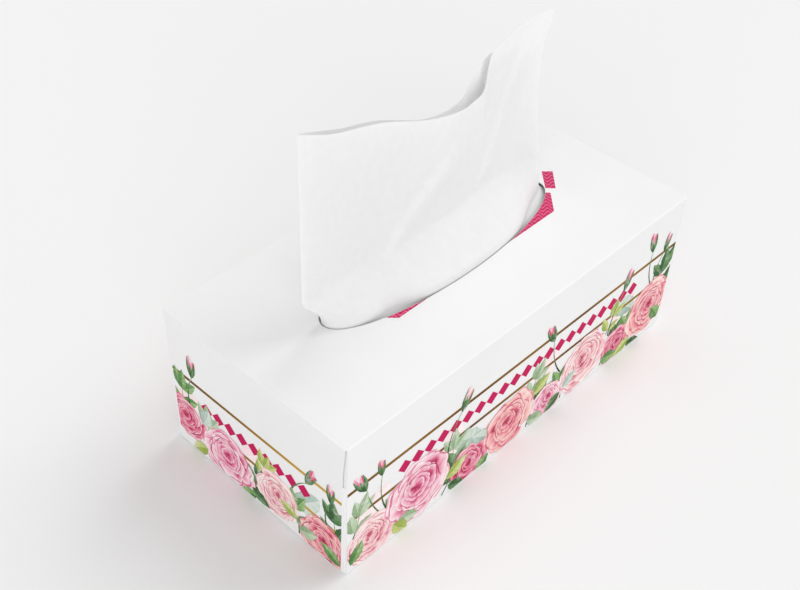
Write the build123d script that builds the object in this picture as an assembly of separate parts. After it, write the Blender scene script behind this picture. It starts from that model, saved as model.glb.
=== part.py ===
from build123d import *
from math import exp, pi, sin, sqrt
import os

# A box of pop-up facial tissues: a folded card carton with an oval opening,
# the interfolded stack inside it, and the sheet that stands up through the opening.
# Millimetres. +X along the box, +Y to the back, +Z up, origin under the middle of the base.

# The carton, outside
box_length = 230.0
box_width = 114.0
box_height = 82.0
board = 0.45            # thickness of the card
fold_radius = 0.7       # outside of the folds between the panels
flap_fold_radius = 0.42 # outside of the folds at the inner and outer flaps
least_inner_radius = 0.1

# The oval opening, cut out of the top panel
opening_length = 146.0
opening_width = 41.0

# The glued seam and the flaps that close the two ends
seam_width = 14.0       # glue flap, inside the back panel
seam_end_gap = 6.0      # the glue flap stops short of the end flaps
dust_flap_depth = 46.0  # flaps of the front and back panels, folded in first
dust_flap_slope = 4.0   # they narrow by this much at each side
inner_flap_height = 58.0
inner_flap_inset = 1.4  # it is narrower than the end by this much at each side
outer_flap_foot = 0.8   # the outer flap stops this far above the base
outer_flap_top_inset = 0.6
outer_flap_bend_inset = 2.0
outer_flap_foot_inset = 2.7
outer_flap_bend = 15.0  # the relief beside the fold is this high

# The stack of interfolded tissues
stack_end_room = 10.65  # free room inside the carton at each end of the stack
stack_side_room = 5.55  # and along each of its sides
stack_height = 57.0
stack_folds = 19        # the folds bulge out in this many bunches at each side
fold_bulge = 0.9

# The sheet that stands up
sheet_thickness = 0.8
rim_clearance = 0.9     # between the sheet and the front edge of the opening
slot_end_room = 2.5     # between the sheet's edges and the opening's ends
foot_end_room = 19.0    # the sheet leaves the stack this far from the stack's ends
left_overhang = 11.5    # its left edge stands free this far beyond the opening's end
right_inset = 7.0       # and its right edge this far inside the other end
sheet_foot_y = -6.0     # it leaves the stack this far in front of the middle
belly_rise = 22.0       # above the opening it swings back to the middle over this height
left_corner_height = 103.0   # the corners and the dip between them, above the top panel
dip_height = 80.5
right_corner_height = 93.5
dip_place = 0.25        # the dip's place, from -1 at the left edge to 1 at the right

# Humps across the sheet: the depth, then the place and the width, where -1 and 1 are its edges
left_gap = (4.2, -0.62, 0.22)    # near its ends it stands further back from the opening's front edge
right_gap = (2.6, 0.8, 0.3)
front_wave = (10.5, 0.04, 0.27)  # the middle of the upper edge waves forward
back_wave = (7.0, 0.78, 0.36)    # its right-hand part waves back
left_crease = (2.2, -0.62, 0.14) # two soft creases, placed where they leave the opening
right_crease = (2.2, 0.18, 0.18)
left_crease_lean = 1.15          # how far they have moved to the right at the upper edge
right_crease_lean = 0.85

sheet_columns = 24      # steps across the sheet, and up it below and above the opening
rows_below = 4
rows_above = 15

end_face = box_length / 2
side_face = box_width / 2
stack_length = box_length - 6 * board - 2 * stack_end_room
stack_width = box_width - 2 * board - 2 * stack_side_room
stack_top = board + stack_height
slot_half = opening_length / 2 - slot_end_room
foot_half = stack_length / 2 - foot_end_room
sheet_left = -(opening_length / 2 + left_overhang)
sheet_right = opening_length / 2 - right_inset


def prism_along(points, x_low, x_high):
    """A prism whose outline lies in the upright plane across the box, from x_low to x_high."""
    outline = make_face(Polyline([(x_low, y, z) for y, z in points], close=True))
    return extrude(outline, amount=x_high - x_low, dir=(1, 0, 0))


def block(x_low, x_high, y_low, y_high, z_low, z_high):
    """A plate or block between six planes."""
    size = (x_high - x_low, y_high - y_low, z_high - z_low)
    middle = ((x_low + x_high) / 2, (y_low + y_high) / 2, (z_low + z_high) / 2)
    return Pos(*middle) * Box(*size)


def folded_tube():
    """The four panels, folded to a tube: its ends are flush with the dust flaps."""
    half_length = end_face - 2 * board
    middle = Plane.YZ.offset(-half_length) * Pos(0, box_height / 2)
    outside = middle * RectangleRounded(box_width, box_height, fold_radius)
    inner_radius = max(fold_radius - board, least_inner_radius)
    inside = middle * RectangleRounded(box_width - 2 * board, box_height - 2 * board, inner_radius)
    return extrude(outside - inside, amount=2 * half_length, dir=(1, 0, 0))


def dust_flap(end, side):
    """A flap of the front (side -1) or back (side 1) panel, folded across the end first."""
    face = end * (end_face - 2 * board)
    back = face - end * board
    root = side * (side_face - board / 2)
    tip = side * (side_face - dust_flap_depth)
    low, high = board, box_height - board
    outline = [(root, low), (tip, low + dust_flap_slope), (tip, high - dust_flap_slope), (root, high)]
    return prism_along(outline, min(face, back), max(face, back))


def inner_flap(end):
    """The flap of the bottom panel, folded up over the dust flaps, with its strip of the bottom."""
    face = end * (end_face - board)
    back = face - end * board
    half = side_face - inner_flap_inset
    low, high = min(face, back), max(face, back)
    strip_start = back - end * 2 * board
    strip = block(min(strip_start, face), max(strip_start, face), -half, half, 0, board)
    flap = strip + block(low, high, -half, half, 0, inner_flap_height)
    edge = flap.edges().filter_by(Axis.Y).sort_by(lambda e: (e.center().Z, -end * e.center().X))[0]
    return fillet(edge, flap_fold_radius)


def outer_flap(end):
    """The flap of the top panel, folded down last and glued: its sides slope in from the fold."""
    face = end * end_face
    back = face - end * board
    top = box_height
    shape = [
        (side_face - outer_flap_top_inset, top),
        (side_face - outer_flap_bend_inset, top - outer_flap_bend),
        (side_face - outer_flap_foot_inset, outer_flap_foot),
    ]
    outline = shape + [(-y, z) for y, z in reversed(shape)]
    flap = prism_along(outline, min(face, back), max(face, back))
    half = side_face - outer_flap_top_inset
    strip_start = back - end * 2 * board
    flap += block(min(strip_start, face), max(strip_start, face), -half, half, top - board, top)
    edge = flap.edges().filter_by(Axis.Y).sort_by(lambda e: (-e.center().Z, -end * e.center().X))[0]
    return fillet(edge, flap_fold_radius)


def make_carton():
    """The whole carton: one blank, folded and glued."""
    carton = folded_tube()
    seam_half = end_face - 3 * board - seam_end_gap
    seam_face = side_face - board
    carton += block(-seam_half, seam_half, seam_face - board, seam_face, board, board + seam_width)
    for end in (-1, 1):
        for side in (-1, 1):
            carton += dust_flap(end, side)
        carton += inner_flap(end)
        carton += outer_flap(end)
    oval = Pos(0, 0, box_height) * Ellipse(opening_length / 2, opening_width / 2)
    return carton - extrude(oval, amount=2 * board, both=True)


def make_stack():
    """The interfolded stack: its long sides are the bulging folds, layer on layer."""
    pitch = stack_height / stack_folds
    half = stack_width / 2 - fold_bulge
    start = -stack_length / 2
    heights = [board + pitch * i for i in range(stack_folds + 1)]
    edges = [Line((start, half, stack_top), (start, -half, stack_top))]
    for side in (-1, 1):
        for low, high in zip(heights, heights[1:]):
            bulge = (start, side * (half + fold_bulge), (low + high) / 2)
            edges.append(ThreePointArc((start, side * half, low), bulge, (start, side * half, high)))
    edges.append(Line((start, -half, board), (start, half, board)))
    return extrude(make_face(edges), amount=stack_length, dir=(1, 0, 0))


def ease(value):
    """Rises smoothly from 0 to 1 while the value goes from 0 to 1."""
    value = min(max(value, 0.0), 1.0)
    return value * value * (3 - 2 * value)


def hump(across, depth, place, width):
    """A smooth hump of this depth round its place."""
    return depth * exp(-((across - place) / width) ** 2)


def upper_edge_height(across):
    """The height of the sheet's upper edge: across goes from -1, the left edge, to 1."""
    if across < dip_place:
        share = ((dip_place - across) / (dip_place + 1)) ** 1.5
        return box_height + dip_height + (left_corner_height - dip_height) * share
    share = sin(pi / 2 * (across - dip_place) / (1 - dip_place))
    return box_height + dip_height + (right_corner_height - dip_height) * share


def sheet_point(across, up):
    """The middle of the sheet: up is -1 on the stack, 0 in the opening, 1 at the upper edge."""
    if up < 0:
        z = box_height + (box_height - stack_top) * up
    else:
        z = box_height + (upper_edge_height(across) - box_height) * up
    above = z - box_height
    spread = ease(above / belly_rise)
    foot = ease(-up)
    left = -slot_half + (sheet_left + slot_half) * spread - (foot_half - slot_half) * foot
    right = slot_half + (sheet_right - slot_half) * spread + (foot_half - slot_half) * foot
    x = left + (right - left) * (across + 1) / 2
    rim = -(opening_width / 2 - rim_clearance) * sqrt(1 - (slot_half * across * 2 / opening_length) ** 2)
    rim += hump(across, *left_gap) + hump(across, *right_gap)
    rim *= 1 - across ** 8
    y = rim * (1 - spread) * (1 - foot) + sheet_foot_y * foot
    y += ease(above / left_corner_height) * (hump(across, *back_wave) - hump(across, *front_wave))
    lean = max(above, 0) / left_corner_height
    y -= spread * hump(across - left_crease_lean * lean, *left_crease)
    y -= spread * hump(across - right_crease_lean * lean, *right_crease)
    return x, y, z


def sheet_lines(shift):
    """Smooth lines across the sheet from the stack to its upper edge, in front of or behind its middle."""
    lines = []
    for step in range(-rows_below, rows_above + 1):
        up = step / (rows_below if step < 0 else rows_above)
        points = [sheet_point(-1 + 2 * i / sheet_columns, up) for i in range(sheet_columns + 1)]
        lines.append(Spline(*[Vector(x, y + shift, z) for x, y, z in points]))
    return lines


def make_sheet():
    """The sheet that stands up: it fans out of the opening, and its upper edge is left free."""
    front, back = sheet_lines(-sheet_thickness / 2), sheet_lines(sheet_thickness / 2)
    faces = []
    for lines in (front, back):
        faces += [Face.make_surface_from_curves(low, high) for low, high in zip(lines, lines[1:])]
    for end in (0, 1):
        for row in range(len(front) - 1):
            front_edge = Line(front[row] @ end, front[row + 1] @ end)
            back_edge = Line(back[row] @ end, back[row + 1] @ end)
            faces.append(Face.make_surface_from_curves(front_edge, back_edge))
    faces += [Face.make_surface_from_curves(front[row], back[row]) for row in (0, -1)]
    return Solid(Shell(faces))


pieces = {
    "carton": make_carton(),
    "tissue_stack": make_stack(),
    "pop_up_tissue": make_sheet(),
}
os.makedirs("parts", exist_ok=True)
for name, piece in pieces.items():
    export_step(piece, f"parts/{name}.step")
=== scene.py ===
import bpy
import numpy as np
from math import cos, pi, radians, sin
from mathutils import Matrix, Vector


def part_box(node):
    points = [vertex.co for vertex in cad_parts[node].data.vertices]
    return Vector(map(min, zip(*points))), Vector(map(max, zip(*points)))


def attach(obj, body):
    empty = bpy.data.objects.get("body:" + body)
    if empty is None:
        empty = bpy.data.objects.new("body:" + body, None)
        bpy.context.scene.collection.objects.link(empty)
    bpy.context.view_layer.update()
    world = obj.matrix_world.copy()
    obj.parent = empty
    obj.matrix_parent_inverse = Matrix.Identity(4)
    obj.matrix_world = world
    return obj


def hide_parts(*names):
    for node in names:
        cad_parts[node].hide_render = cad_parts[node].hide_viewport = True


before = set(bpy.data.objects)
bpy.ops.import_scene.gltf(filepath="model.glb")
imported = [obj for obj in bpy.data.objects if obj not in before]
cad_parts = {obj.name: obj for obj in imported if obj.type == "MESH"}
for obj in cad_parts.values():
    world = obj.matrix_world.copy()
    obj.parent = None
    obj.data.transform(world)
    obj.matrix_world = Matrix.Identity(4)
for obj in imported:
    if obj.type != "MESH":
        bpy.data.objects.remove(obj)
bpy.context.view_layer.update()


# The carton is one blank of white folding board, die-cut, folded to a tube, and glued along its
# seam and at both ends. Its outside is coated to a satin white; inside it is bare board, which is
# rougher and a touch yellower.

mm = 0.001
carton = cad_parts["carton"]
end_face, side_face, top_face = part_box("carton")[1]
board = 0.45 * mm        # thickness of the board


def colour(code):
    """The linear red, green, blue and full opacity of a colour's six-digit code."""
    parts = np.array([int(code[i:i + 2], 16) for i in (1, 3, 5)]) / 255
    linear = np.where(parts <= 0.04045, parts / 12.92, ((parts + 0.055) / 1.055) ** 2.4)
    return (*linear.tolist(), 1.0)


class Wire:
    """A value on its way through a finish: arithmetic on it adds the nodes that work it out, and the
    result is another such value."""

    def __init__(self, finish, node, output=0):
        self.finish, self.node = finish, node
        self.socket = node.outputs[output] if node.outputs else None

    def output(self, name):
        """Another output of the same node, by its name or number."""
        return Wire(self.finish, self.node, name)

    def maths(self, operation, *values):
        """The result of one operation on these values."""
        return self.finish.add("Math", {"operation": operation}, dict(enumerate(values)))

    def __add__(self, other):
        return self.maths("ADD", self, other)

    def __sub__(self, other):
        return self.maths("SUBTRACT", self, other)

    def __rsub__(self, other):
        return self.maths("SUBTRACT", other, self)

    def __mul__(self, other):
        return self.maths("MULTIPLY", self, other)

    def __abs__(self):
        return self.maths("ABSOLUTE", self)

    __radd__, __rmul__ = __add__, __mul__

    def lower(self, other):
        """The lower of this value and the other."""
        return self.maths("MINIMUM", self, other)

    def sine(self):
        return self.maths("SINE", self)

    def step(self, low, high):
        """Goes from 0 to 1 while this value goes from low to high."""
        return self.finish.add("MapRange", {"interpolation_type": "SMOOTHSTEP"}, {0: self, 1: low, 2: high})


class Finish:
    """A material made of nodes or, where a node tree is given, that tree made anew."""

    def __init__(self, name, tree=None):
        if tree is None:
            self.material = bpy.data.materials.new(name)
            self.material.use_nodes = True
        self.tree = tree or self.material.node_tree
        self.tree.nodes.clear()

    def add(self, kind, settings=None, sockets=None):
        """Adds a node: its settings come first, then the numbers, colours and wires of its sockets."""
        node = self.tree.nodes.new("ShaderNode" + kind)
        for name, value in (settings or {}).items():
            setattr(node, name, value)
        for name, value in (sockets or {}).items():
            if isinstance(value, Wire):
                self.tree.links.new(value.socket, node.inputs[name])
            else:
                node.inputs[name].default_value = value
        return Wire(self, node)

    def place(self):
        """The point of the surface in the shared frame, in metres."""
        return self.add("TexCoord").output("Object")

    def noise(self, place, size, detail=3.0, roughness=0.5):
        """Cloudy noise round 0.5, whose clouds are about this size, in metres."""
        sockets = {"Vector": place, "Scale": 1 / size, "Detail": detail, "Roughness": roughness}
        return self.add("TexNoise", None, sockets)

    def mix(self, share, first, second):
        """A mix of two colours."""
        return self.add("Mix", {"data_type": "RGBA"}, {0: share, 6: first, 7: second}).output(2)

    def relief(self, height, depth, strength=1.0):
        """The normal of a surface whose height goes through this depth, in metres."""
        return self.add("Bump", None, {"Height": height, "Distance": depth, "Strength": strength})

    def done(self, surface):
        """Ends the finish with this surface and gives its material."""
        self.add("OutputMaterial", None, {"Surface": surface})
        return self.material


def coated_board():
    """White coated board outside, bare board inside, told apart by the place: what lies further in than
    the middle of the board's thickness is bare."""
    finish = Finish("coated_board")
    place = finish.place()
    parts = finish.add("SeparateXYZ", None, {0: place})
    inside = (end_face - 2.5 * board - abs(parts)).lower(side_face - 0.5 * board - abs(parts.output(1)))
    inside = inside.lower(parts.output(2) - 0.5 * board).lower(top_face - 0.5 * board - parts.output(2))
    bare = inside.step(0, 0.1 * board)
    cloud = finish.noise(place, 0.03, 2).step(0.25, 0.75)
    fibre = finish.noise(place, 0.0009, 4, 0.6)
    white = finish.mix(cloud, colour("#f1f1f1"), colour("#efefef"))
    uncoated = finish.mix(fibre.step(0.3, 0.7), colour("#f4f4f2"), colour("#ecece9"))
    waviness = finish.relief(finish.noise(place, 0.05, 1), 0.0006)
    grain = finish.add("Bump", None, {
        "Height": fibre,
        "Distance": 0.00004,
        "Strength": 0.5,
        "Normal": waviness,
    })
    return finish.done(finish.add("BsdfPrincipled", None, {
        "Base Color": finish.mix(bare, white, uncoated),
        "Roughness": 0.5 + 0.35 * bare + 0.05 * (fibre - 0.5),
        "Specular IOR Level": 0.35,
        "Normal": grain,
    }))


carton.data.materials.clear()
carton.data.materials.append(coated_board())


# The stack of interfolded tissues fills the carton to about two thirds. It is soft white paper, its
# long sides show the folds, layer on layer, and it lies loose on the bottom panel.

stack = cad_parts["tissue_stack"]
stack_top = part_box("tissue_stack")[1].z


def stacked_paper():
    """White paper with the fine, uneven lines of its layers, which lie flat."""
    finish = Finish("stacked_paper")
    place = finish.place()
    flat = finish.add("Mapping", None, {"Vector": place, "Scale": (40, 40, 1400)})
    layers = finish.add("TexNoise", None, {"Vector": flat, "Scale": 1.0, "Detail": 2.0})
    crepe = finish.noise(place, 0.0011, 3)
    return finish.done(finish.add("BsdfPrincipled", None, {
        "Base Color": finish.mix(layers.step(0.35, 0.6), colour("#ecebea"), colour("#f6f6f5")),
        "Roughness": 0.9 + 0.1 * crepe,
        "Specular IOR Level": 0.2,
        "Normal": finish.relief(layers + 0.3 * crepe, 0.0003),
    }))


stack.data.materials.clear()
stack.data.materials.append(stacked_paper())


# The pop-up tissue is the top sheet, two plies of creped paper, pulled up through the opening
# until it stands. It fans out above the card, and its upper edge waves, with a dip in the middle.

opening_length = 146 * mm
opening_width = 41 * mm
foot_half = 84 * mm      # the sheet's half width where it leaves the stack
foot_y = -6 * mm         # it leaves the stack this far in front of the middle
rim_clearance = 0.5 * mm
belly_rise = 22 * mm     # over this height it swings back from the front of the opening
sheet_rise = 103 * mm    # the upper edge's left corner, above the card
ply_gap = 0.4 * mm
free_start = 4 * mm      # from this height above the card the paper is free to crease,
free_rise = 50 * mm      # and more and more so over this height
ply_columns, ply_rows = 230, 190

# Between these two places across, the sheet runs along the opening's front rim. Outside them it wraps
# round the oval's ends: the turns are angles from the oval's long axis, at the wraps and at its edges.
left_wrap, right_wrap = -0.9, 0.92
wrap_turn, left_turn, right_turn = 0.4, -0.13, -0.1

# Humps: the depth, and then the place and the width, where -1 and 1 are the sheet's left and right edges.
left_gap = (3.0 * mm, -0.58, 0.18)       # here the sheet stands further back from the front rim
right_gap = (5.0 * mm, 0.82, 0.22)
belly = (1.6 * mm, -0.02, 0.33)          # and here it swells forward just above the card,
belly_height, belly_reach = 4.2 * mm, 2.2 * mm    # round this height and over this reach
tuck_forward, tuck_right = 1.35, 0.9     # just below the card it comes out again, by these shares

# Folds: the foot and the head, each along the box and up, then the depth and the widths on both sides.
sheet_folds = [
    ((-42 * mm, 92 * mm), (-8 * mm, 144 * mm), 2.6 * mm, 2.6 * mm, 12 * mm),
    ((24 * mm, 108 * mm), (54 * mm, 162 * mm), 1.6 * mm, 3 * mm, 9 * mm),
]
crease_count, crease_size = 9, 2.2 * mm

# Points of the plies' upper edges: along the box, towards the back, and up, in millimetres.
front_upper_edge = [
    (-84.5, 0, 184.6), (-63, 0, 176.5), (-42, -2, 171.9), (-21, -8, 166.4), (-3, -11, 164.8),
    (7, -9, 163.4), (17, -5.5, 162.3), (23, -1.5, 163.6), (26.5, 2, 168), (29.5, 4, 170.6),
    (35, 5, 171.8), (42.5, 6, 173.3), (53.5, 6, 174.7), (62.5, 5, 175), (70.2, 3, 175.2),
]
back_upper_edge = [
    (-82.6, 1.5, 183.2), (-62, 1, 175.2), (-42, -1, 170.8), (-20, -7, 165.3), (-6, -8, 164.1),
    (3, -6, 163.8), (9, -3.5, 165.4), (15, -1.5, 166.6), (21, 0, 167.4), (27, 3, 167.6),
    (42, 7, 165), (62, 7, 157),
]


def ease(value):
    """Rises smoothly from 0 to 1 while the value goes from 0 to 1."""
    value = np.clip(value, 0, 1)
    return value * value * (3 - 2 * value)


def hump(across, depth, place, width):
    """A bell of this depth round its place."""
    return depth * np.exp(-((across - place) / width) ** 2)


def through(known, value, x):
    """A smooth curve through known values: a cubic between each two, whose slopes come from the values
    beside them."""
    slope = np.gradient(value, known)
    i = np.clip(np.searchsorted(known, x) - 1, 0, len(known) - 2)
    width = known[i + 1] - known[i]
    t = np.clip((x - known[i]) / width, 0, 1)
    start = value[i] * (1 + 2 * t) + slope[i] * width * t
    end = value[i + 1] * (3 - 2 * t) + slope[i + 1] * width * (t - 1)
    return start * (1 - t) ** 2 + end * t ** 2


def creases(across, up, seed, count, size):
    """Soft crossing waves: a sum of sines that run in many directions, mostly across the sheet, each
    shallower the closer its waves are."""
    draw = np.random.default_rng(seed)
    total = np.zeros_like(across)
    for _ in range(count):
        wide, tall = draw.uniform(4, 16), draw.uniform(-7, 7)
        total += np.sin(wide * across + tall * up + draw.uniform(0, 2 * pi)) / wide
    return size * total


def fold(x, z, foot, head, depth, left_width, right_width):
    """A soft fold along a slanting line from its foot to its head: half a bell over one width to its
    left and half a bell over another to its right, faded at both ends."""
    share = (z - foot[1]) / (head[1] - foot[1])
    off = x - foot[0] - (head[0] - foot[0]) * share
    fade = ease((share + 0.15) / 0.3) * ease((1.25 - share) / 0.5)
    return depth * fade * np.exp(-(off / np.where(off < 0, left_width, right_width)) ** 2)


def opening_line(across, inset):
    """Where a ply passes the opening: along the front of the oval that lies at this inset from the rim,
    and round its ends by an angle, with two humps that stand further back. It is kept inside that
    oval. Gives x, y and how far back it stands."""
    half_length, half_width = opening_length / 2 - inset, opening_width / 2 - inset
    turn = np.interp(across, [-1, left_wrap, right_wrap, 1], [left_turn, wrap_turn, wrap_turn, right_turn])
    reach = half_length * cos(wrap_turn)
    x = np.interp(across, [left_wrap, right_wrap], [-reach, reach])
    x = np.where(across < left_wrap, -half_length * np.cos(turn), x)
    x = np.where(across > right_wrap, half_length * np.cos(turn), x)
    along_rim = -half_width * np.sqrt(1 - (x / half_length) ** 2)
    y = np.where(abs(turn) < wrap_turn, -half_width * np.sin(turn), along_rim)
    gap = hump(across, *left_gap) + hump(across, *right_gap)
    reach = half_length * np.sqrt(1 - np.clip((y + gap) / half_width, -1, 1) ** 2)
    return np.clip(x, -reach, reach), y + gap, gap


def ply_surface(across, up, side, edge, right_edge, seed):
    """A ply: across goes from -1 to 1, up from -1 on the stack through 0 in the opening to 1 at its
    upper edge. Its x and y ease from those of the straight foot to those of the opening's line, and
    from there to those of its upper edge; the swelling, the folds and the creases are added to y, and
    side, which is -1 for the front ply and 1 for the back one, sets the two apart. Just below the card
    the tuck brings it forward again where it stood back from the rim, and to the right at its end."""
    known = np.array(edge, float).T * mm
    edge_x = known[0, 0] + (known[0, -1] - known[0, 0]) * (across + 1) / 2
    edge_y, edge_z = through(known[0], known[1], edge_x), through(known[0], known[2], edge_x)
    z = top_face + np.where(up < 0, (top_face - stack_top) * up, (edge_z - top_face) * up)
    above = z - top_face
    spread, foot = ease(above / belly_rise), ease(-up)
    open_x, open_y, gap = opening_line(across, rim_clearance + (1 + side / 2) * ply_gap)
    share = (across + 1) / 2
    wide_x = known[0, 0] + (right_edge(above) - known[0, 0]) * share
    foot_x = foot_half * across
    x = open_x * (1 - spread) * (1 - foot) + wide_x * spread + foot_x * foot
    swelling = hump(across, *belly) * hump(above, 1, belly_height, belly_reach)
    tuck = tuck_forward * gap * ease(-up / 0.2) * (1 - ease((-up - 0.25) / 0.5))
    x += tuck_right * tuck * ease((across - 0.8) / 0.2)
    y = (open_y - swelling) * (1 - spread) * (1 - foot) + foot_y * foot - tuck
    tall = np.clip(above / sheet_rise, 0, None)
    y += edge_y * ease(1.15 * tall)
    for sheet_fold in sheet_folds:
        y -= fold(x, z, *sheet_fold)
    free = ease((above - free_start) / free_rise) * (1 - across ** 8)
    y += free * creases(across, up, seed, crease_count, crease_size)
    y += side * (ply_gap / 2 + free * (0.6 + 0.8 * np.cos(3 * across + seed) ** 2) * mm)
    return np.stack([x, y, z], -1)


def grid_faces(rows, columns):
    """The corners of each face of a grid of points, which are numbered row by row."""
    number = np.arange(rows * columns).reshape(rows, columns)
    corners = [number[:-1, :-1], number[:-1, 1:], number[1:, 1:], number[1:, :-1]]
    return np.stack(corners, -1).reshape(-1, 4)


def new_piece(name, points, faces, material, smooth, uv=None):
    """A mesh object at the origin with its material and, where given, a UV map."""
    mesh = bpy.data.meshes.new(name)
    mesh.from_pydata(points.tolist(), [], faces.tolist())
    mesh.polygons.foreach_set("use_smooth", np.full(len(faces), smooth))
    if uv is not None:
        layer = mesh.uv_layers.new(name="surface")
        layer.data.foreach_set("uv", uv[faces.ravel()].ravel())
    mesh.materials.append(material)
    piece = bpy.data.objects.new(name, mesh)
    bpy.context.scene.collection.objects.link(piece)
    return piece


def creped_tissue():
    """Thin white paper that light passes through, with fine crepe lines across the sheet. Its pattern
    follows the sheet's own map, stretched to about its real width and height in metres."""
    finish = Finish("creped_tissue")
    run = finish.add("TexCoord").output("UV")
    stretched = finish.add("Mapping", None, {"Vector": run, "Scale": (0.16, 0.13, 1)})
    lines = finish.add("Mapping", None, {"Vector": stretched, "Scale": (500, 2600, 1)})
    crepe = finish.add("TexNoise", None, {"Vector": lines, "Scale": 1.0, "Detail": 3.0, "Roughness": 0.6})
    cloud = finish.noise(stretched, 0.004, 5, 0.65)
    white = finish.mix(cloud.step(0.3, 0.7), colour("#f6f6f6"), colour("#f3f3f3"))
    normal = finish.relief(0.6 * crepe + 0.4 * cloud, 0.00006)
    paper = finish.add("BsdfPrincipled", None, {
        "Base Color": white,
        "Roughness": 0.95,
        "Specular IOR Level": 0.1,
        "Sheen Weight": 0.15,
        "Normal": normal,
    })
    glow = finish.add("BsdfTranslucent", None, {"Color": colour("#f5f5f5"), "Normal": normal})
    return finish.done(finish.add("MixShader", None, {0: 0.15, 1: paper, 2: glow}))


def back_right_edge(above):
    """The back ply's free edge on the right leans inwards: its x falls in a straight line."""
    return (69 - 7.5 * np.clip(above / mm / 80, 0, 1)) * mm


def front_right_edge(above):
    """The front ply's free edge on the right: its x is a parabola, and it flares at its upper corner."""
    above = above / mm
    return (64.5 + 8 * ((above - 65) / 60) ** 2 + 4 * ease((above - 76) / 18)) * mm


tissue_paper = creped_tissue()


def make_ply(name, side, edge, right_edge, seed):
    """One ply on a grid: a fifth of its rows lie below the opening."""
    rows_below = ply_rows // 5
    rise = np.concatenate([np.linspace(-1, 0, rows_below), np.linspace(0, 1, ply_rows - rows_below)[1:]])
    across, up = np.meshgrid(np.linspace(-1, 1, ply_columns), rise)
    points = ply_surface(across, up, side, edge, right_edge, seed).reshape(-1, 3)
    uv = np.stack([(across.ravel() + 1) / 2, (up.ravel() + 1) / 2], -1)
    ply = new_piece(name, points, grid_faces(*across.shape), tissue_paper, True, uv)
    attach(ply, "root")
    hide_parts("pop_up_tissue")


make_ply("front_ply", -1, front_upper_edge, front_right_edge, 3)
make_ply("back_ply", 1, back_upper_edge, back_right_edge, 8)


# The printed border: inks on the card round all four sides. A chain of magenta lozenges runs between
# two thin gold lines, and a band of watercolour blossom and leaves runs along the foot.

print_lift = 0.03 * mm   # the first ink lies this far off the card
ink_step = 0.006 * mm    # and each later layer this much further
print_foot, print_head = 0.75, 81.0      # the lowest and the highest place for ink, in millimetres
flap_print_foot = 1.0                    # and the lowest one on the end flaps


def printing_ink():
    """Ink on coated board: the ink attribute's colour. Where the wash attribute is 1 it has pooled and
    dried unevenly like watercolour, and where foil is 1 it shines like a dull metallic ink."""
    finish = Finish("printing_ink")
    ink = finish.add("Attribute", {"attribute_name": "ink"})
    foil = finish.add("Attribute", {"attribute_name": "foil"}).output("Fac")
    wash = finish.add("Attribute", {"attribute_name": "wash"}).output("Fac")
    place = finish.place()
    cloud = finish.noise(place, 0.0045, 5, 0.65)
    speck = finish.noise(place, 0.0006, 3, 0.6)
    pale = finish.mix(0.38 * cloud.step(0.52, 0.72) * wash, ink, colour("#fff6f6"))
    pooled = 0.45 * (1 - cloud).step(0.52, 0.72) * wash
    strong = finish.add("Mix", {"data_type": "RGBA", "blend_type": "MULTIPLY"}, {0: pooled, 6: pale, 7: ink})
    return finish.done(finish.add("BsdfPrincipled", None, {
        "Base Color": strong.output(2),
        "Roughness": 0.6 - 0.1 * foil,
        "Metallic": 0.15 * foil,
        "Specular IOR Level": 0.12,
        "Normal": finish.relief(speck, 0.00003, 0.5),
    }))


def wavy_ink():
    """Magenta ink overprinted with paler waves: the size of a sine of x plus y, where that sum is
    shifted to and fro by a sine of x minus y."""
    finish = Finish("wavy_ink")
    parts = finish.add("SeparateXYZ", None, {0: finish.place()})
    run = parts + parts.output(1) + 0.0018 * ((parts - parts.output(1)) * 900).sine()
    wave = abs((run * 850).sine()).step(0.5, 0.95)
    return finish.done(finish.add("BsdfPrincipled", None, {
        "Base Color": finish.mix(0.85 * wave, colour("#b8164f"), colour("#ea6090")),
        "Roughness": 0.5,
        "Specular IOR Level": 0.2,
    }))


def tones(*codes):
    """The linear colours of several codes, one row each."""
    return np.array([colour(code)[:3] for code in codes])


def blended(shades, share):
    """The colours at these shares of the way through a row of shades."""
    stops = np.linspace(0, 1, len(shades))
    return np.stack([np.interp(share, stops, shades[:, i]) for i in range(3)], -1)


least_area = 1e-4        # of a printed face, in square millimetres


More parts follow.
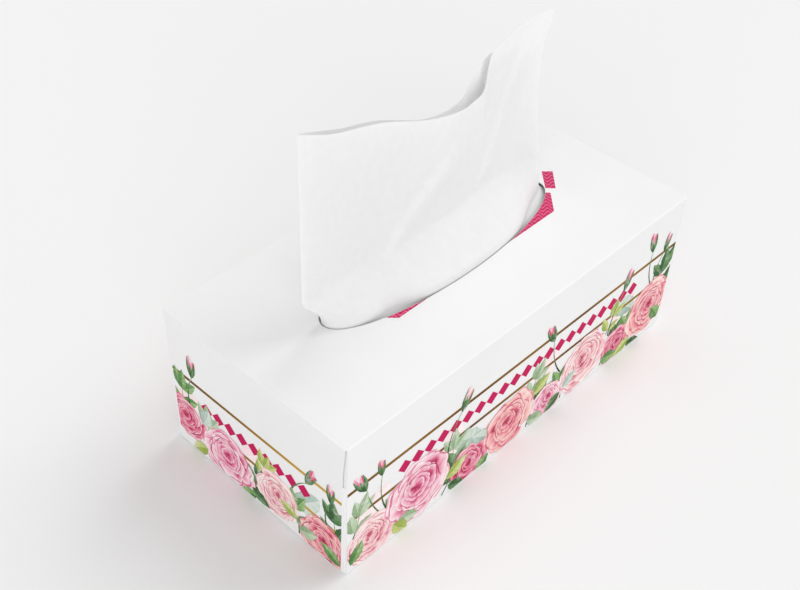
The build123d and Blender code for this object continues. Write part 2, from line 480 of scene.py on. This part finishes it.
class Artwork:
    """The printed shapes of one panel, in millimetres across and up it. Each is a grid of points with
    a colour at each point, and its layer says how far it lies off the card."""

    def __init__(self):
        self.patches = []

    def patch(self, across, up, shades, layer, foil=0.0, wash=1.0):
        """Keeps one shape: the grid's places across and up, and their colours."""
        self.patches.append((across, up, shades, layer, foil, wash))

    def strip(self, start, end, width, shades, layer, bend=0.0, foil=0.0, steps=12):
        """A thin line from start to end, bowed sideways by a parabola whose height is the bend. A stem
        thins towards its end, and a foil line keeps its width."""
        start, end = np.array(start, float), np.array(end, float)
        along, side = np.meshgrid(np.linspace(0, 1, steps), [-1, 1], indexing="ij")
        ahead = end - start
        normal = np.array([-ahead[1], ahead[0]]) / np.hypot(*ahead)
        off = bend * 4 * along * (1 - along) + side * width / 2 * (1 if foil else 1 - 0.55 * along)
        spot = start + along[..., None] * ahead + off[..., None] * normal
        self.patch(spot[..., 0], spot[..., 1], blended(shades, along), layer, foil, 1 - foil)

    def leaf(self, base, angle, length, width, shades, layer, bend=0.0, blunt=1.0):
        """A leaf: its half width is a sine along its length, raised to a power that blunts its ends. Its
        halves differ in tone beside a fine vein, dark or pale, and its foot and its rim are darker."""
        ribs = [-1, -0.88, -0.5, -0.07, 0, 0.07, 0.5, 0.88, 1]
        along, side = np.meshgrid(np.linspace(0, 1, 15), ribs, indexing="ij")
        turn = radians(angle)
        ahead, normal = np.array([cos(turn), sin(turn)]), np.array([-sin(turn), cos(turn)])
        half = width / 2 * np.sin(pi * along ** 0.85) ** blunt * (1 + 0.06 * np.sin(23 * along + angle))
        off = side * half + bend * along ** 2 * length
        spot = np.array(base) + (along * length)[..., None] * ahead + off[..., None] * normal
        share = 0.42 + 0.3 * along - 0.17 * np.sign(side) - 0.25 * (np.abs(side) > 0.95)
        share += 0.12 * np.sin(31 * along - 5 * np.abs(side)) * (np.abs(side) > 0.2)
        share = np.where(side == 0, 0.2 if angle % 3 < 1 else 1.0, share)
        self.patch(spot[..., 0], spot[..., 1], blended(shades, share), layer)

    def spray(self, base, angle, length, shades, layer, draw):
        """A bowed stem with two pairs of leaves and one leaf at its tip."""
        turn = radians(angle)
        ahead = np.array([cos(turn), sin(turn)])
        tip = np.array(base) + 0.6 * length * ahead
        self.strip(base, tip, 0.9, dark, layer, draw.uniform(-1, 1))
        for share in (0.25, 0.6):
            for way in (1, -1):
                reach = length * draw.uniform(0.42, 0.56)
                lean = angle + way * draw.uniform(32, 58)
                width = reach * draw.uniform(0.4, 0.52)
                place = np.array(base) + share * length * ahead
                self.leaf(place, lean, reach, width, shades, layer + draw.uniform(0.3, 1.2), -0.1 * way)
        self.leaf(tip, angle + draw.uniform(-12, 12), 0.52 * length, 0.22 * length, shades, layer + 1.4, 0.1)

    def petal(self, centre, turn, spread, inner, outer, shades, deepen, line, layer, draw):
        """A petal in a ring: its angle spreads from turn to both sides, and its radius goes from the inner
        to the outer one, which waves and falls off towards its sides. It is deep at its foot and on its
        shaded side, streaked along, and pale on most of its rim. A little larger shape in one of its
        own tones lies below it as its outline."""
        out, side = np.meshgrid(np.linspace(0, 1, 10), np.linspace(-1, 1, 15), indexing="ij")
        phase = draw.uniform(0, 2 * pi, 4)
        notch = draw.uniform(0, 0.09)
        rim = outer * (1 - 0.17 * np.abs(side) ** 3 - notch * np.exp(-(side / 0.25) ** 2))
        rim = rim * (1 + 0.03 * np.sin(6 * side + phase[0]))
        radius = inner + (rim - inner) * out
        angle = turn + spread * side * (0.72 + 0.28 * out) + 0.12 * out
        share = 0.08 + 0.9 * out ** 0.75 + 0.12 * np.sin(10 * side + phase[1]) * (1 - out ** 2)
        share -= 0.45 * ease((side - 0.25) / 0.75) * (1 - 0.45 * out)
        share -= 0.34 * np.exp(-((out - 0.55) / 0.22) ** 2) * np.clip(np.sin(2.6 * side + phase[2]), 0, 1)
        share = np.where(out > 0.96, 0.98 - 0.75 * (np.sin(4 * side + phase[3]) > 0.35), share - deepen)
        shade = blended(shades, np.clip(share, 0, 1))
        spot = np.stack([radius * np.cos(angle), radius * np.sin(angle)], -1) + np.array(centre)
        self.patch(spot[..., 0], spot[..., 1], shade, layer)
        shift = 0.022 * outer * np.array([cos(phase[0]), sin(phase[0])])
        under = (spot[::3] - np.array(centre)) * 1.03 + np.array(centre) + shift
        self.patch(under[..., 0], under[..., 1], blended(shades, line + 0 * side[::3]), layer - 0.06)

    def blossom(self, centre, size, shades, layer, seed, lean=(0.0, 0.0)):
        """A full round blossom: rings of overlapping petals, each ring smaller, deeper in tone and shifted
        further by the lean. A ring has its count of petals and its outer and inner radius as shares of
        the blossom's."""
        draw = np.random.default_rng(seed)
        rings = [(6, 1.0, 0.45), (6, 0.86, 0.38), (5, 0.7, 0.28), (5, 0.55, 0.2), (4, 0.4, 0.1), (3, 0.26, 0)]
        for number, (count, outer, inner) in enumerate(rings):
            first = draw.uniform(0, 2 * pi)
            shift = np.array(lean) * (1 - outer) + draw.uniform(-0.02, 0.02, 2)
            middle = np.array(centre) + shift * size
            for i in range(count):
                turn = first + 2 * pi * i / count + draw.uniform(-0.2, 0.2)
                reach = size * outer * draw.uniform(0.86, 1.08)
                spread = pi / count * draw.uniform(1.15, 1.5)
                deepen = 0.05 * number + draw.uniform(-0.08, 0.12)
                line = (0.6, 0.34)[number] if number < 2 else 0.08
                self.petal(middle, turn, spread, size * inner, reach, shades, deepen, line, layer, draw)
                layer += 0.13
            layer += 0.2

    def bud(self, base, angle, length, shades, greens, layer):
        """A closed bud: two petals wrapped round each other, held by four narrow green sepals."""
        turn = radians(angle)
        top = np.array(base) + 0.25 * length * np.array([cos(turn), sin(turn)])
        self.leaf(top, angle + 6, 0.78 * length, 0.36 * length, shades, layer, 0.05, 0.8)
        self.leaf(top, angle - 8, 0.62 * length, 0.24 * length, shades[::-1], layer + 0.4, -0.04, 0.8)
        for lean, reach, bend in ((26, 0.95, -0.25), (-24, 0.85, 0.25), (4, 0.66, 0.0), (-8, 0.5, 0.0)):
            layer += 0.2
            self.leaf(base, angle + lean, reach * length, 0.14 * length, greens, layer + 0.4, bend)

    def lay(self, name, place, outline, lowest, highest, finish):
        """Makes the piece: the shapes are clipped between the lowest and the highest place and to the
        outline's half width at each height, faces that this flattens are dropped, and a face whose
        area is negative is turned over, so that all of them face outwards."""
        points, inks, foils, washes, faces, count = [], [], [], [], [], 0
        for across, up, shades, layer, foil, wash in self.patches:
            up = np.clip(up, lowest, highest)
            half = np.interp(up, *np.array(outline).T)
            across = np.clip(across, -half, half)
            corners = grid_faces(*across.shape)
            flat = np.stack([across.ravel(), up.ravel()], -1)
            one = flat[corners[:, 2]] - flat[corners[:, 0]]
            other = flat[corners[:, 3]] - flat[corners[:, 1]]
            area = (one[:, 0] * other[:, 1] - one[:, 1] * other[:, 0]) / 2
            corners = np.where(area[:, None] < 0, corners[:, ::-1], corners)[np.abs(area) > least_area]
            if len(corners) == 0:
                continue
            lift = print_lift + ink_step * layer
            points.append(place(flat[:, 0] * mm, flat[:, 1] * mm, np.full(len(flat), lift)))
            inks.append(np.broadcast_to(shades, (*across.shape, 3)).reshape(-1, 3))
            foils.append(np.full(len(flat), foil))
            washes.append(np.full(len(flat), wash))
            faces.append(corners + count)
            count += len(flat)
        points, inks, faces = np.concatenate(points), np.concatenate(inks), np.concatenate(faces)
        used, faces = np.unique(faces, return_inverse=True)
        piece = new_piece(name, points[used], faces.reshape(-1, 4), finish, False)
        opaque = np.concatenate([inks[used], np.ones((len(used), 1))], 1)
        ink = piece.data.color_attributes.new("ink", "FLOAT_COLOR", "POINT")
        ink.data.foreach_set("color", opaque.ravel())
        for kind, values in (("foil", foils), ("wash", washes)):
            values = np.concatenate(values)[used]
            piece.data.attributes.new(kind, "FLOAT", "POINT").data.foreach_set("value", values)
        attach(piece, "root")


ink_finish = printing_ink()
pink = tones("#aa2450", "#d65a86", "#ec9ab6", "#f7d0da", "#fdf3f4")
deep = tones("#8e143c", "#c4305e", "#df648a", "#f2a8ba", "#fae2e6")
blush = tones("#b8445e", "#e08c9c", "#f2bcc2", "#f9dedd", "#fdf5f2")
coral = tones("#a42048", "#d2526e", "#ea90a0", "#f5beba", "#fbe6de")
haze = tones("#f8dbe0", "#fbe9ea", "#fdf3f2")
sage = tones("#6d8c66", "#93ae86", "#b6caa9", "#d6e2cb")
green = tones("#33592c", "#578547", "#7ca862", "#b4cf96")
lime = tones("#71903a", "#9db24f", "#c1cb7a", "#e0e5b0")
dark = tones("#1f3f28", "#365f34", "#56824c", "#8fb083")
mist = tones("#8ba69c", "#a9c0b5", "#c8d8cc", "#e0e9e0")
# The foil tones change along each gold line. On the long panels, lighter and darker stretches alternate; on
# the end flaps, the line goes from dark bronze to bright gold. Both are painted sheen of the foil, not its
# printed colour.
bronze_with_painted_sheen = tones("#6e4700", "#8e6400", "#684200", "#886000", "#6c4500", "#967008", "#6e4700")
gold = tones("#684200", "#785000", "#8a6000", "#ad8218", "#d0a640", "#c99e38")
magenta = tones("#c40a58")


line_width = 1.9         # in millimetres, as all sizes of the artwork are
half_lozenge = 4.0       # half a lozenge's diagonal


def add_lines(art, half, upper, lower, centre, lozenges, pitch, metal):
    """The two gold lines, whose tones change along them as painted sheen of the foil, and between them the
    lozenges, which are squares on their corners, in a row.
    """
    for height in (upper, lower):
        art.strip((-half, height), (half, height), line_width, metal, 1, foil=1.0, steps=19)
    for i in range(lozenges):
        middle = (i - (lozenges - 1) / 2) * pitch
        one, two = np.meshgrid([-0.5, 0.5], [-0.5, 0.5])
        across, up = middle + half_lozenge * (one + two), centre + half_lozenge * (one - two)
        art.patch(across, up, magenta[0], 1, 0, 0)


def add_garden(art, seed, washes, sprays, leaves, blossoms, buds):
    """The band of blossom: pale washes lowest, then sprays and buds on their stems, then the blossoms,
    and a few single leaves over them. Each entry starts with its place across and up the panel, then
    come its angle, where it has one, its length or size, and its tones. A bud's starts with the foot of
    its stem. A blossom's petals lie on layer 6 or 13 and above, so that neighbours don't meet."""
    draw = np.random.default_rng(seed)
    for number, (across, up, angle, length, width, shades) in enumerate(washes):
        art.leaf((across, up), angle, length, width, shades, 0.15 * number, 0.1, 0.6)
    for across, up, angle, length, shades in sprays:
        art.spray((across, up), angle, length, shades, 2 + draw.uniform(0, 1.5), draw)
    for base, tip, angle, length, shades in buds:
        layer = 4 + draw.uniform(0, 0.5)
        art.strip(base, tip, 1.0, dark, layer, 2.0)
        art.bud(tip, angle, length, shades, dark, layer + 0.5)
    for number, (across, up, size, shades) in enumerate(blossoms):
        lean = (draw.uniform(-0.15, 0.15), draw.uniform(0.05, 0.25))
        art.blossom((across, up), size, shades, 6 + 7 * (number % 2), seed + number, lean)
    for across, up, angle, length, width, shades, bend in leaves:
        art.leaf((across, up), angle, length, width, shades, 21 + draw.uniform(0, 1), bend)


half_front = 114.0       # half the length of the ink along the long panels
panel_outline = [(print_foot, half_front), (print_head, half_front)]

side_art = Artwork()
add_lines(side_art, half_front, upper=54.0, lower=35.8, centre=44.7, lozenges=21, pitch=8.03, metal=bronze_with_painted_sheen)
add_garden(
    side_art, 30,
    washes=[(-112, 30, 20, 26, 14, haze), (-54, 26, 60, 22, 14, haze), (-30, 24, 150, 20, 12, mist),
            (8, 26, 40, 24, 13, haze), (66, 26, 30, 24, 14, haze), (84, 30, 140, 22, 12, mist)],
    sprays=[(-88, 3, 78, 30, green), (-112, 20, 72, 26, sage), (-54, 2, 62, 26, dark),
            (-50, 14, 84, 26, sage), (-24, 3, 112, 24, green), (6, 2, 66, 26, dark),
            (2, 20, 62, 24, sage), (32, 3, 108, 24, green), (64, 3, 66, 26, dark),
            (62, 22, 66, 22, lime), (86, 3, 108, 26, green), (108, 18, 94, 34, dark)],
    leaves=[(-86, 10, 306, 14, 8, lime, 0.1), (-84, 9, 350, 15, 8, sage, -0.1),
            (-52, 12, 20, 15, 9, lime, 0.1), (-50, 6, 330, 13, 7, dark, 0.0),
            (-22, 6, 215, 13, 7, green, 0.1), (-25, 20, 140, 13, 8, mist, 0.1),
            (6, 7, 330, 14, 8, sage, 0.1), (8, 22, 40, 14, 8, lime, -0.1),
            (31, 8, 205, 13, 7, dark, 0.1), (32, 10, 30, 12, 7, mist, 0.0),
            (64, 7, 340, 14, 8, green, 0.1), (88, 7, 200, 14, 8, lime, 0.1),
            (86, 4, 330, 14, 7, dark, 0.1), (112, 6, 120, 14, 8, green, 0.1),
            (-112, 5, 60, 14, 8, green, 0.0)],
    blossoms=[(-100, 13, 15.5, blush), (-70, 21, 21, pink), (-37, 10, 13, deep), (-9, 17, 18, coral),
              (20, 10, 12.5, pink), (47, 18, 19.5, blush), (75, 10, 12.5, deep), (100, 20, 18, coral)],
    buds=[((-90, 20), (-103, 48), 112, 15, pink), ((-90, 24), (-94, 50), 92, 11, deep),
          ((-52, 28), (-45, 51), 64, 14, blush), ((28, 24), (19, 50), 110, 14, deep),
          ((66, 22), (73, 47), 72, 14, pink), ((98, 36), (93, 60), 98, 14, deep),
          ((100, 34), (104, 54), 74, 12, pink)],
)


def on_front(across, up, lift):
    """The front panel: across runs along +X, and the ink lies this lift in front of the card."""
    return np.stack([across, -(side_face + lift), up], -1)


def on_back(across, up, lift):
    """The back panel, seen from behind: across runs along -X."""
    return np.stack([-across, side_face + lift, up], -1)


def on_left_end(across, up, lift):
    """The left end, seen from its side: across runs along -Y."""
    return np.stack([-(end_face + lift), -across, up], -1)


def on_right_end(across, up, lift):
    """The right end, seen from its side: across runs along +Y."""
    return np.stack([end_face + lift, across, up], -1)


side_art.lay("front_border_print", on_front, panel_outline, print_foot, print_head, ink_finish)
side_art.lay("back_border_print", on_back, panel_outline, print_foot, print_head, ink_finish)

# Heights on the end flap and how far it reaches there to each side, less a margin without ink. It
# widens towards its fold.
flap_margin = 0.15
flap_outline = [(height, half - flap_margin) for height, half in ((0.8, 54.3), (67.0, 55.0), (82.0, 56.4))]

end_art = Artwork()
add_lines(end_art, half=57, upper=47.5, lower=25.7, centre=36.0, lozenges=9, pitch=8.0, metal=gold)
add_garden(
    end_art, 60,
    washes=[(-56, 30, 10, 22, 12, haze), (-8, 24, 40, 22, 12, haze), (26, 22, 40, 22, 12, mist)],
    sprays=[(-52, 22, 80, 26, green), (-34, 6, 84, 30, sage), (-4, 3, 66, 26, dark), (2, 18, 70, 20, lime),
            (28, 3, 100, 26, green), (52, 14, 96, 28, dark)],
    leaves=[(-34, 8, 210, 14, 8, lime, 0.1), (-36, 24, 60, 14, 8, mist, 0.1),
            (-3, 8, 330, 13, 7, dark, 0.1), (0, 4, 200, 13, 7, green, 0.1),
            (28, 6, 20, 13, 8, sage, 0.1), (27, 12, 150, 12, 7, lime, 0.1),
            (54, 4, 150, 14, 8, green, 0.0)],
    blossoms=[(-47, 19, 14, deep), (-19, 13, 18, pink), (14, 16, 14, blush), (43, 10, 17, coral)],
    buds=[((-44, 28), (-41, 50), 84, 14, pink), ((22, 24), (33, 42), 60, 13, deep),
          ((46, 24), (48, 42), 86, 12, pink)],
)
end_art.lay("left_end_print", on_left_end, flap_outline, flap_print_foot, print_head, ink_finish)
end_art.lay("right_end_print", on_right_end, flap_outline, flap_print_foot, print_head, ink_finish)


# Round the opening the top panel is printed with a magenta band that the oval is cut out of, so
# only its corners show beside the rim, and a short bar stands beyond it.

# All in millimetres from the middle of the panel: the band's corners, the ends of its slanting
# edges, the places along the rim that face them, and the bar's corners.
band_edge = 19.1
right_corner, left_corner = (60.1, -band_edge), (-46.0, -band_edge)
right_tip, left_tip = (70.2, -8.9), (-49.6, -15.5)
right_corner_rim, right_tip_rim = 57.0, 68.6
left_corner_rim, left_tip_rim = -44.0, -49.4
bar = np.array([[(71.3, -4.9), (80.7, 5.0)], [(74.7, -8.5), (84.7, 1.3)]])
cut_margin = 0.12        # the ink stops this far short of the cut
top_half_width = 56.0
top_outline = [(-top_half_width, half_front), (top_half_width, half_front)]


def rim(x):
    """The near edge of the opening at these places along it: half an ellipse."""
    half_length, half_width = opening_length / 2 / mm + cut_margin, opening_width / 2 / mm + cut_margin
    return -half_width * np.sqrt(1 - (x / half_length) ** 2)


def band_patch(art, rim_from, rim_to, outer_from, outer_to, mirror):
    """A ruled patch between a stretch of the rim and a straight stretch of the band's outer edge."""
    along, out = np.meshgrid(np.linspace(0, 1, 17), np.linspace(0, 1, 5), indexing="ij")
    x_rim = rim_from + (rim_to - rim_from) * along
    x = x_rim + (outer_from[0] + (outer_to[0] - outer_from[0]) * along - x_rim) * out
    y = rim(x_rim) + (outer_from[1] + (outer_to[1] - outer_from[1]) * along - rim(x_rim)) * out
    art.patch(x, mirror * y, magenta[0], 0)


def on_top(across, up, lift):
    """The top panel, seen from above: across runs along +X, and up along +Y."""
    return np.stack([across, up, top_face + lift], -1)


top_art = Artwork()
meets_rim = (opening_length / 2 / mm) * np.sqrt(1 - (band_edge / (opening_width / 2 / mm)) ** 2)
for mirror in (1, -1):
    band_patch(top_art, meets_rim, right_corner_rim, (meets_rim, -band_edge), right_corner, mirror)
    band_patch(top_art, right_corner_rim, right_tip_rim, right_corner, right_tip, mirror)
    band_patch(top_art, -meets_rim, left_corner_rim, (-meets_rim, -band_edge), left_corner, mirror)
    band_patch(top_art, left_corner_rim, left_tip_rim, left_corner, left_tip, mirror)
top_art.patch(bar[..., 0], bar[..., 1], magenta[0], 0)
top_art.lay("opening_border_print", on_top, top_outline, -top_half_width, top_half_width, wavy_ink())


# The stage: a plain pale floor that takes the soft shadow, an even pale sky, a key lamp from the
# right and a low fill lamp from the front left. The camera looks down at the near left corner.

floor_half = 6.0         # metres
floor_mesh = bpy.data.meshes.new("floor")
floor_corners = [(-floor_half, -floor_half, 0), (floor_half, -floor_half, 0),
                 (floor_half, floor_half, 0), (-floor_half, floor_half, 0)]
floor_mesh.from_pydata(floor_corners, [], [(0, 1, 2, 3)])
floor = bpy.data.objects.new("floor", floor_mesh)
bpy.context.scene.collection.objects.link(floor)
floor_finish = Finish("pale_floor")
floor_mesh.materials.append(floor_finish.done(floor_finish.add("BsdfPrincipled", None, {
    "Base Color": colour("#f3f3f3"),
    "Roughness": 0.9,
    "Specular IOR Level": 0.0,
})))

sky_strength = 0.64

world = bpy.data.worlds.new("studio")
bpy.context.scene.world = world
world.use_nodes = True
sky = Finish("studio", world.node_tree)

# The camera, reflections and rays that have gone through the paper meet the backdrop, and all other
# rays meet the sky that gives the light.
path = sky.add("LightPath")
seen = 1 - (1 - path) * (1 - path.output("Is Glossy Ray")) * (1 - path.output("Is Transmission Ray"))
backdrop = sky.add("Background", None, {"Color": colour("#f5f5f5"), "Strength": 1.0})
light = sky.add("Background", None, {"Color": (1, 1, 1, 1), "Strength": sky_strength})
sky.add("OutputWorld", None, {"Surface": sky.add("MixShader", None, {0: seen, 1: light, 2: backdrop})})


def soft_lamp(name, towards, angle, energy):
    """A soft lamp far away in this direction: its angle, in degrees, is how wide it looks from here,
    and so wide a lamp casts shadows with no edge."""
    data = bpy.data.lights.new(name, "SUN")
    data.angle = radians(angle)
    data.energy = energy
    lamp = bpy.data.objects.new(name, data)
    lamp.rotation_mode = "QUATERNION"
    lamp.rotation_quaternion = Vector(towards).to_track_quat("Z", "Y")
    bpy.context.scene.collection.objects.link(lamp)


soft_lamp("key_lamp", (0.8, -0.1, 0.78), 48, 1.25)
soft_lamp("fill_lamp", (-0.78, -0.7, 0.2), 60, 1.2)

# The camera's numbers were fitted to the carton's corners in the photograph.
camera_data = bpy.data.cameras.new("camera")
camera_data.lens = 53.69
camera_data.sensor_width = 36.0
camera_data.shift_x = 0.075
camera_data.shift_y = 0.04625
camera_data.clip_start, camera_data.clip_end = 0.01, 50
camera = bpy.data.objects.new("camera", camera_data)
camera.location = (-0.324747, -0.269131, 0.431032)
azimuth, elevation = radians(-44.232), radians(43.731)
back = Vector((sin(azimuth) * cos(elevation), -cos(azimuth) * cos(elevation), sin(elevation)))
camera.rotation_mode = "QUATERNION"
camera.rotation_quaternion = (-back).to_track_quat("-Z", "Y")
bpy.context.scene.collection.objects.link(camera)
bpy.context.scene.camera = camera
bpy.context.scene.view_settings.view_transform = "Standard"
